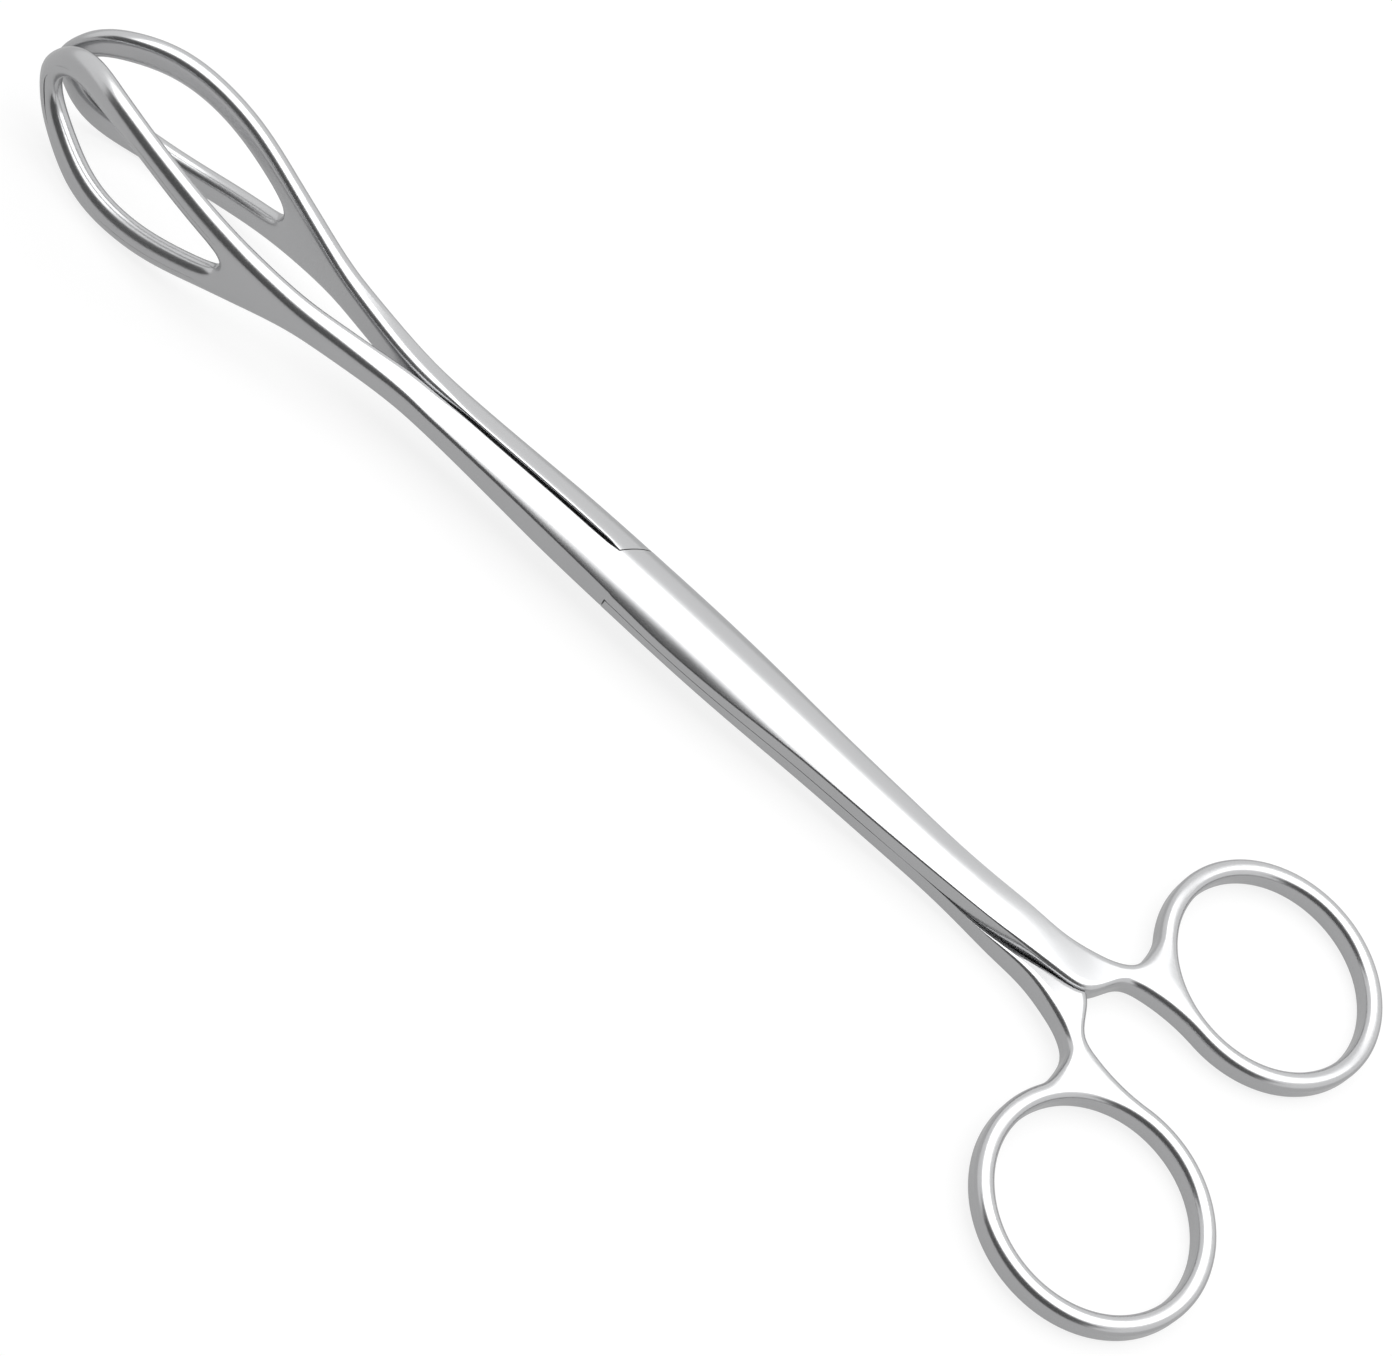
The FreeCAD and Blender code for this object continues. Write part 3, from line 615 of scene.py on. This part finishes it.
        near = [(corner * c, height(corner * c) - corner * r) for r, c in down]
        far = [(width - corner * c, height(width - corner * c) - corner * r) for r, c in up]
        arcs = [corner + (centre - corner) * i / arch for i in range(1, arch + 1)]
        arcs += [centre + (width - corner - centre) * i / arch for i in range(1, arch)]
        upper = [(0, lap + (near[0][1] - lap) * i / steps) for i in range(steps)]
        upper += near + [(g, height(g)) for g in arcs] + far
        upper += [(width, far[-1][1] + (lap - far[-1][1]) * i / steps) for i in range(1, steps + 1)]
        small = min(corner, self.d["lowRound"] * (deep + lap))
        inset = width - wall - 2 * small
        low = [(width, lap + (-deep + small - lap) * i / steps) for i in range(1, steps)]
        low += [(width - small * c, -deep + small * r) for r, c in down]
        low += [(width - small - inset * i / (2 * arch), -deep) for i in range(1, 2 * arch)]
        low += [(wall + small * c, -deep + small * r) for r, c in up]
        low += [(wall, -deep + small + (lap + deep - small) * i / steps) for i in range(1, steps)]
        face = [(wall * (1 - i / arch), lap) for i in range(arch)]
        return place(upper), place(low), place(face)

    # how far from the near outline the other arm's edge crosses a section
    def partnerEdge(self, n, f):
        d = self.d
        line = self.near.at(np.linspace(0, self.near.t[-1], d["edgeSteps"]))
        line = line[line[:, 0] < d["ringReach"] - d["ringHole"] / 2]
        samples = 200
        g = np.linspace(0, 1, samples)
        q = n + (f - n) * g[:, None]
        free = q[:, 1] > -np.interp(q[:, 0], line[:, 0], line[:, 1]) + d["armGap"]
        width = np.linalg.norm(f - n)
        return float(g[np.argmax(free)] * width) if free.any() else float(width)

    # lean, crown, corner, middle, wall and depth of the handle's section from n to f
    def handleForm(self, n, f):
        d = self.d
        slim, plate, lap = self.slimX, d["ringHeight"] / 2, d["lapGap"] / 2
        flatRate, flatStart, notch = 1.6, 0.3, 0.12
        x = (n[0] + f[0]) / 2
        width = float(np.linalg.norm(f - n))
        lean = float(1 - ease((n[0] + d["shoulderReach"] - d["shoulderSlant"]) / d["leanLength"]))
        neckX = d["ringReach"] - d["ringHole"] / 2 - d["ringWall"]
        past = min(1.0, max(0.0, (x - slim) / (neckX - slim)))
        flatten = float(ease(flatRate * past - flatStart))
        drift = d["crownDrift"] * d["ringOffset"] * past ** 3
        lower = float(passed(x, d["ringFall"]))
        ridge = float(self.ridge(x))

        def top(y):
            crown = (1 - d["crownLoss"] * flatten) * self.crownDrop(y - drift)
            return (ridge - crown) * (1 - lower) + plate * lower

        moved, across = passed(x, d["middleMove"]), float(passed(x, d["wallMove"]))
        middle = (abs(n[1]) - d["armGap"] / 2 - notch) * (1 - moved) + width / 2 * moved
        corner = between(d["crispRound"], d["ringRound"] * d["ringWall"], float(passed(x, d["cornerGrow"])))
        wall = 0.0
        if x < d["wallEnd"]:
            wall = middle * (1 - across) + self.partnerEdge(n, f) * across
        deep = -lap + (plate + lap) * float(passed(x, d["stripFall"]))
        return lean, top, corner, middle, min(wall, width - d["wallLeast"]), deep

    def handle(self, last):
        d = self.d
        rim, outer, inner, lowRim, lowOuter, lowInner = last
        self.outlines()
        lap, plate = d["lapGap"] / 2, d["ringHeight"] / 2
        nearT = [0.0] + [self.closest(self.near, point) for point in d["nearMarks"]]
        farT = [0.0] + [self.closest(self.far, point) for point in d["farMarks"]]
        shank, neck = [], []
        for leg, count in enumerate(d["handleSections"]):
            for i in range(1 if leg else 0, count + 1):
                share = i / count
                n = self.near.at(between(nearT[leg], nearT[leg + 1], share))[0]
                f = self.far.at(between(farT[leg], farT[leg + 1], share))[0]
                lean, top, corner, middle, wall, deep = self.handleForm(n, f)
                seam = leg == 1 and i == count
                if leg < 2:
                    edge = 0.0 if seam else wall
                    shank.append(self.handleRing(n, f, lean, top, corner, middle, lap, edge, deep))
                if seam:
                    neck.append(shank[-1])
                if leg == 2:
                    level = lap * (1 - share)
                    neck.append(self.handleRing(n, f, lean, top, corner, middle, level, 0.0, plate))
        # the first section shares its near half with the shank in front of the step
        top, low, face = shank[0]
        shared = d["cornerSteps"] + d["archSteps"]
        known = np.vstack([outer[:-1], rim[:shared + 1]])
        top[:len(known)] = known
        top[len(known):, 0] += d["shoulderGap"]
        low[:, 0] += d["shoulderGap"]
        face[0] = inner[0]
        self.grid([np.vstack(parts) for parts in shank], closed=True)
        self.grid([np.vstack(parts[:2]) for parts in neck], closed=True)
        self.cap(np.vstack([outer[:1], lowOuter[1:-1], lowRim, lowInner[-2:0:-1], face]))
        self.cap(np.vstack([inner, rim[-2:shared - 1:-1], top[len(known):], low]))
        return neck[-1][0], n, f

    def ring(self, last):
        d = self.d
        top, n, f = last
        steps, count, arch = d["faceSteps"], d["ringSections"], 2 * d["archSteps"]
        plate, corner = d["ringHeight"] / 2, d["ringRound"] * d["ringWall"]
        rounds = (corner, corner)
        legSamples, ringSamples, endBlend = 60, 500, 9.0
        high = lambda x, y: plate
        bottom = lambda x, y: -plate
        turn = lambda row: row
        # the outside of the ring, from the far side of the neck round to its near side
        out = np.linspace(self.closest(self.far, f), self.far.t[-1], legSamples)
        angle = np.radians(np.linspace(d["ringLeave"], d["ringMeet"] - 360, ringSamples))[1:-1]
        back = np.linspace(self.near.t[-1], self.closest(self.near, n), legSamples)
        line = np.vstack([self.far.at(out), self.onRing(angle), self.near.at(back)])
        line[0], line[-1] = f, n
        way = np.concatenate([[0], np.cumsum(np.linalg.norm(np.diff(line, axis=0), axis=1))])
        s = np.linspace(0, way[-1], count)
        edge = np.stack([np.interp(s, way, line[:, 0]), np.interp(s, way, line[:, 1])], 1)
        inward = self.sideways(np.gradient(edge, axis=0), self.centre - edge)
        along = (n - f) / np.linalg.norm(n - f)
        a = ease(np.arange(count) / endBlend)[:, None]
        b = ease(np.arange(count)[::-1] / endBlend)[:, None]
        inward = unit(inward * a * b + along * (1 - a) - along * (1 - b))
        rims = [self.rim(p, q, high, bottom, *rounds, 2 * steps) for p, q in zip(edge, inward)]

        def angleOf(p):
            return np.arctan2(*(p - self.centre)[::-1])

        def holes(angle):
            out = np.stack([np.cos(angle), np.sin(angle)], 1)
            return self.centre + d["ringHole"] / 2 * out, out

        hole, holeIn = holes(np.unwrap([angleOf(p) for p in edge]))
        farHigh, farLow = [r[0, :2] for r in rims], [r[-1, :2] for r in rims]
        self.grid(self.plate(hole, holeIn, high, bottom, rounds, farHigh, farLow, rims, turn), closed=True)
        # the web between the neck and the hole
        hole, holeIn = holes(np.linspace(angleOf(f), angleOf(n), arch + 1))
        skip = steps + d["cornerSteps"]
        farHigh = top[skip:len(top) - skip][::-1][:, :2]
        farLow = between(rims[0][0, :2], rims[-1][0, :2], np.linspace(0, 1, arch + 1)[:, None])
        self.grid(self.plate(hole, holeIn, high, bottom, rounds, farHigh, farLow, None, turn))

    def build(self, name):
        weld, sliver = 4e-6, 1e-6     # metres
        self.ring(self.handle(self.front(self.jaw())))
        points = np.vstack(self.points)
        points[:, 0] += self.d["pivot"]
        mesh = bpy.data.meshes.new(name)
        mesh.from_pydata((points / 1000).tolist(), [], self.faces)
        work = bmesh.new()
        work.from_mesh(mesh)
        bmesh.ops.remove_doubles(work, verts=work.verts, dist=weld)
        bmesh.ops.dissolve_degenerate(work, edges=work.edges, dist=sliver)
        bmesh.ops.recalc_face_normals(work, faces=work.faces)
        if work.calc_volume(signed=True) < 0:
            bmesh.ops.reverse_faces(work, faces=work.faces)
        loose = sum(len(e.link_faces) != 2 for e in work.edges)
        print(name, "shaped,", round(work.calc_volume() * 1e9), "mm3,", loose, "open edges")
        work.to_mesh(mesh)
        work.free()
        return mesh


# lock screw and its holes, in millimetres
screwSize = {
    "shank": 4.0, "thread": 3.0, "head": 6.4,
    "land": 0.5, "sunk": 0.6, "depth": 2.3,
    "play": 0.04, "threadPlay": 0.02,
    "slotWidth": 0.9, "slotDepth": 0.8,
    "rimRound": 0.12, "rimSteps": 4, "sides": 96,
}


def addObject(name, data):
    obj = bpy.data.objects.new(name, data)
    bpy.context.scene.collection.objects.link(obj)
    return obj


# a solid turned about the pivot axis: (radius, height) from the bottom to the top
def turned(name, profile):
    sides = screwSize["sides"]
    pivot = armSize["pivot"]
    work = bmesh.new()
    rows = []
    for radius, z in profile:
        if radius == 0:
            rows.append([work.verts.new((pivot / 1000, 0, z / 1000))] * sides)
            continue
        row = []
        for i in range(sides):
            angle = 2 * math.pi * i / sides
            x, y = pivot + radius * math.cos(angle), radius * math.sin(angle)
            row.append(work.verts.new((x / 1000, y / 1000, z / 1000)))
        rows.append(row)
    for low, high in zip(rows, rows[1:]):
        for i in range(sides):
            j = (i + 1) % sides
            corners = [low[i], low[j], high[j], high[i]]
            work.faces.new([v for k, v in enumerate(corners) if v not in corners[:k]])
    bmesh.ops.recalc_face_normals(work, faces=work.faces)
    mesh = bpy.data.meshes.new(name)
    work.to_mesh(mesh)
    work.free()
    return addObject(name, mesh)


def block(name, low, high):
    work = bmesh.new()
    bmesh.ops.create_cube(work, size=1.0)
    for v in work.verts:
        v.co = [(a + b) / 2000 + c * (b - a) / 1000 for a, b, c in zip(low, high, v.co)]
    mesh = bpy.data.meshes.new(name)
    work.to_mesh(mesh)
    work.free()
    return addObject(name, mesh)


def carve(obj, cutter):
    modifier = obj.modifiers.new("carve", "BOOLEAN")
    modifier.operation = "DIFFERENCE"
    modifier.solver = "EXACT"
    modifier.object = cutter
    settle(obj)
    bpy.data.objects.remove(cutter)


# turns what the modifiers make into the object's own plain mesh
def settle(obj):
    graph = bpy.context.evaluated_depsgraph_get()
    mesh = bpy.data.meshes.new_from_object(obj.evaluated_get(graph))
    obj.modifiers.clear()
    obj.data = mesh


# smooth shading, with a fine bevel where faces meet at more than the angle
def finishEdges(obj, width, angle):
    for polygon in obj.data.polygons:
        polygon.use_smooth = True
    obj.data.set_sharp_from_angle(angle=math.radians(angle))
    bevel = obj.modifiers.new("edges", "BEVEL")
    bevel.width = width / 1000
    bevel.segments = 2
    bevel.limit_method = "ANGLE"
    bevel.angle_limit = math.radians(angle)
    bevel.harden_normals = True
    settle(obj)


def makeArms():
    s = screwSize
    upper = addObject("upperArm", Arm(armSize).build("upperArm"))
    lower = addObject("lowerArm", upper.data.copy())
    lower.data.transform(Matrix.Rotation(math.pi, 4, "X"))
    face = armSize["lockHeight"] / 2
    below = -2 * face
    thread, end = s["thread"] / 2 + s["threadPlay"], s["depth"] + s["threadPlay"]
    carve(upper, turned("threadHole", [(0, below), (thread, below), (thread, end), (0, end)]))
    bore, head = s["shank"] / 2 + s["play"], s["head"] / 2 + s["play"]
    land = -face + s["sunk"] + s["land"]
    seat = [(0, below), (head, below), (head, land), (bore, land + head - bore), (bore, face), (0, face)]
    carve(lower, turned("screwSeat", seat))
    return upper, lower


def makeScrew():
    s = screwSize
    pivot, lap = armSize["pivot"], armSize["lapGap"] / 2
    face = -armSize["lockHeight"] / 2 + s["sunk"]
    head, plain, thread = s["head"] / 2, s["shank"] / 2, s["thread"] / 2
    r = s["rimRound"]
    profile = [(0, face), (head - r, face)]
    for i in range(1, s["rimSteps"]):
        angle = i * math.pi / 2 / s["rimSteps"]
        profile.append((head - r * (1 - math.sin(angle)), face + r * (1 - math.cos(angle))))
    profile += [(head, face + r), (head, face + s["land"]), (plain, face + s["land"] + head - plain)]
    profile += [(plain, lap), (thread, lap), (thread, s["depth"]), (0, s["depth"])]
    screw = turned("lockScrew", profile)
    low = (pivot - s["head"], -s["slotWidth"] / 2, face - 1)
    high = (pivot + s["head"], s["slotWidth"] / 2, face + s["slotDepth"])
    carve(screw, block("driverSlot", low, high))
    return screw


steel, turnedSteel = steelMaterial(), screwMaterial()
upperArm, lowerArm = makeArms()
lockScrew = makeScrew()
armBevel, screwBevel, sharpAngle = 0.06, 0.04, 50      # millimetres and degrees
pieces = (
    (upperArm, "upper_arm", "upper", steel, "arm_steel", armBevel),
    (lowerArm, "lower_arm", "lower", steel, "arm_steel", armBevel),
    (lockScrew, "lock_screw", "upper", turnedSteel, "screw_steel", screwBevel),
)
for piece, node, body, material, slot, edge in pieces:
    finishEdges(piece, edge, sharpAngle)
    piece.data.materials.clear()
    piece.data.materials.append(material)
    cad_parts[node].data.materials.clear()
    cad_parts[node].data.materials.append(material)
    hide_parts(node)
    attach(piece, body)
    print(piece.name, "ready,", len(piece.data.polygons), "faces")


# studio: pale floor, white surroundings, a large soft lamp overhead, and a dark card on the
# camera's side that only reflections show
studio = {
    "eye": (0.039625, -0.3189, 0.3961),
    "forward": (-0.0571, 0.6203, -0.7822),
    "up": (-0.6746, 0.5536, 0.4883),
    "lens": 92.36,
    "floorPale": (0.92, 0.92, 0.92),
    "floorDull": (0.89, 0.89, 0.89),
    "floorCloud": (40, 2, 0.5),       # scale, detail and roughness of the floor's tone
    "floorHalf": 3.0,                 # metres from its middle to its edges
    "floorTouch": (0.012, 0.003, -0.0021),    # in from the box's two ends, and its height at the rings
    "floorSunk": 0.0001,
    "glow": 1.12,                     # with its share, lifts the floor to white for the camera
    "glowShare": 0.75,
    "floorMirrored": 0.66,            # with its share, how bright steel mirrors the floor
    "mirrorShare": 0.8,
    "fill": 0.12,                     # strength of the white surroundings as light
    "lampRadiance": 1.9,
    "lampFar": 1.15,
    "lampLow": 50.0,                  # elevations of the lamp's edges, over the side away from the camera
    "lampHigh": 110.0,
    "lampWide": 1.8,
    "cardShade": 0.12,
    "cardFar": 0.95,
    "cardWide": 2.4,
    "cardLow": 1.0,                   # elevations of the card's edges, over the camera's side
    "cardHigh": 63.0,
    "cardSteps": 8,
}


def makeCamera():
    data = bpy.data.cameras.new("camera")
    data.sensor_width = 36
    data.sensor_fit = "HORIZONTAL"
    data.lens = studio["lens"]
    data.clip_start = 0.01
    data.clip_end = 20
    camera = addObject("camera", data)
    forward = Vector(studio["forward"]).normalized()
    right = forward.cross(Vector(studio["up"])).normalized()
    up = right.cross(forward).normalized()
    turn = Matrix((right, up, -forward)).transposed().to_4x4()
    camera.matrix_world = Matrix.Translation(studio["eye"]) @ turn
    bpy.context.scene.camera = camera


def stagePlane(name, corners, faces, material):
    mesh = bpy.data.meshes.new(name)
    mesh.from_pydata(corners, [], faces)
    mesh.materials.append(material)
    obj = addObject(name, mesh)
    return obj


# lifted to white for the camera, toned down in reflections, and plain matt for light and shadow
def floorMaterial():
    s = Shader("paleFloor")
    tone = s.noise(s.place(), *studio["floorCloud"])
    color = s.mix(tone, studio["floorDull"], studio["floorPale"])
    matt = s.node("ShaderNodeBsdfDiffuse", inputs={"Color": color})
    camera = s.node("ShaderNodeLightPath", output="Is Camera Ray")
    lifted, dim = s.glow(studio["glow"]), s.glow(studio["floorMirrored"])
    shown = s.node("ShaderNodeMixShader", inputs={0: camera * studio["glowShare"], 1: matt, 2: lifted})
    mirror = s.mirrored() * studio["mirrorShare"]
    return s.finish(s.node("ShaderNodeMixShader", inputs={0: mirror, 1: shown, 2: dim}))


def cardMaterial():
    s = Shader("darkCard")
    return s.finish(s.glow(studio["cardShade"]))


# the floor leans a little, so that the jaws and the rings both rest on it when closed
def makeFloor():
    low, high = (Vector(c) for c in cadBox)
    ahead, behind, backZ = studio["floorTouch"]
    frontX, backX = low.x + ahead, high.x - behind
    slope = (backZ - low.z) / (backX - frontX)
    h = studio["floorHalf"]
    corners = []
    for x, y in ((-h, -h), (h, -h), (h, h), (-h, h)):
        corners.append((x, y, low.z + slope * (x - frontX) - studio["floorSunk"]))
    stagePlane("floor", corners, [(0, 1, 2, 3)], floorMaterial())


# point at a distance and elevation over the object, on the camera's side or beyond it
def overhead(far, elevation, side, x=0.0):
    angle = math.radians(elevation)
    return Vector((x, side * far * math.cos(angle), far * math.sin(angle)))


def makeCard():
    corners, faces = [], []
    for i in range(studio["cardSteps"] + 1):
        elevation = studio["cardLow"] + (studio["cardHigh"] - studio["cardLow"]) * i / studio["cardSteps"]
        for x in (-studio["cardWide"] / 2, studio["cardWide"] / 2):
            corners.append(overhead(studio["cardFar"], elevation, -1, x))
        if i:
            faces.append((2 * i - 2, 2 * i - 1, 2 * i + 1, 2 * i))
    card = stagePlane("card", corners, faces, cardMaterial())
    card.visible_camera = False
    card.visible_shadow = False
    card.visible_diffuse = False


def makeLamp():
    middle = (studio["lampLow"] + studio["lampHigh"]) / 2
    deep = 2 * studio["lampFar"] * math.tan(math.radians(studio["lampHigh"] - studio["lampLow"]) / 2)
    data = bpy.data.lights.new("overhead", "AREA")
    data.shape = "RECTANGLE"
    data.size, data.size_y = studio["lampWide"], deep
    data.energy = studio["lampRadiance"] * math.pi * studio["lampWide"] * deep
    lamp = addObject("overhead", data)
    lamp.location = overhead(studio["lampFar"], middle, 1)
    lamp.rotation_euler = (-lamp.location).to_track_quat("-Z", "Y").to_euler()


# white to the camera and in reflections, dimmer as light on the scene
def makeWorld():
    world = bpy.data.worlds.new("surroundings")
    world.use_nodes = True
    bpy.context.scene.world = world
    s = Shader("surroundings", world.node_tree)
    seen = (s.node("ShaderNodeLightPath", output="Is Camera Ray") + s.mirrored()).clamp()
    strength = seen * (1 - studio["fill"]) + studio["fill"]
    back = s.node("ShaderNodeBackground", inputs={"Color": (1, 1, 1, 1), "Strength": strength})
    s.finish(back, "ShaderNodeOutputWorld")


makeCamera()
makeFloor()
makeCard()
makeLamp()
makeWorld()
bpy.context.scene.view_settings.view_transform = "Standard"
print("studio ready")
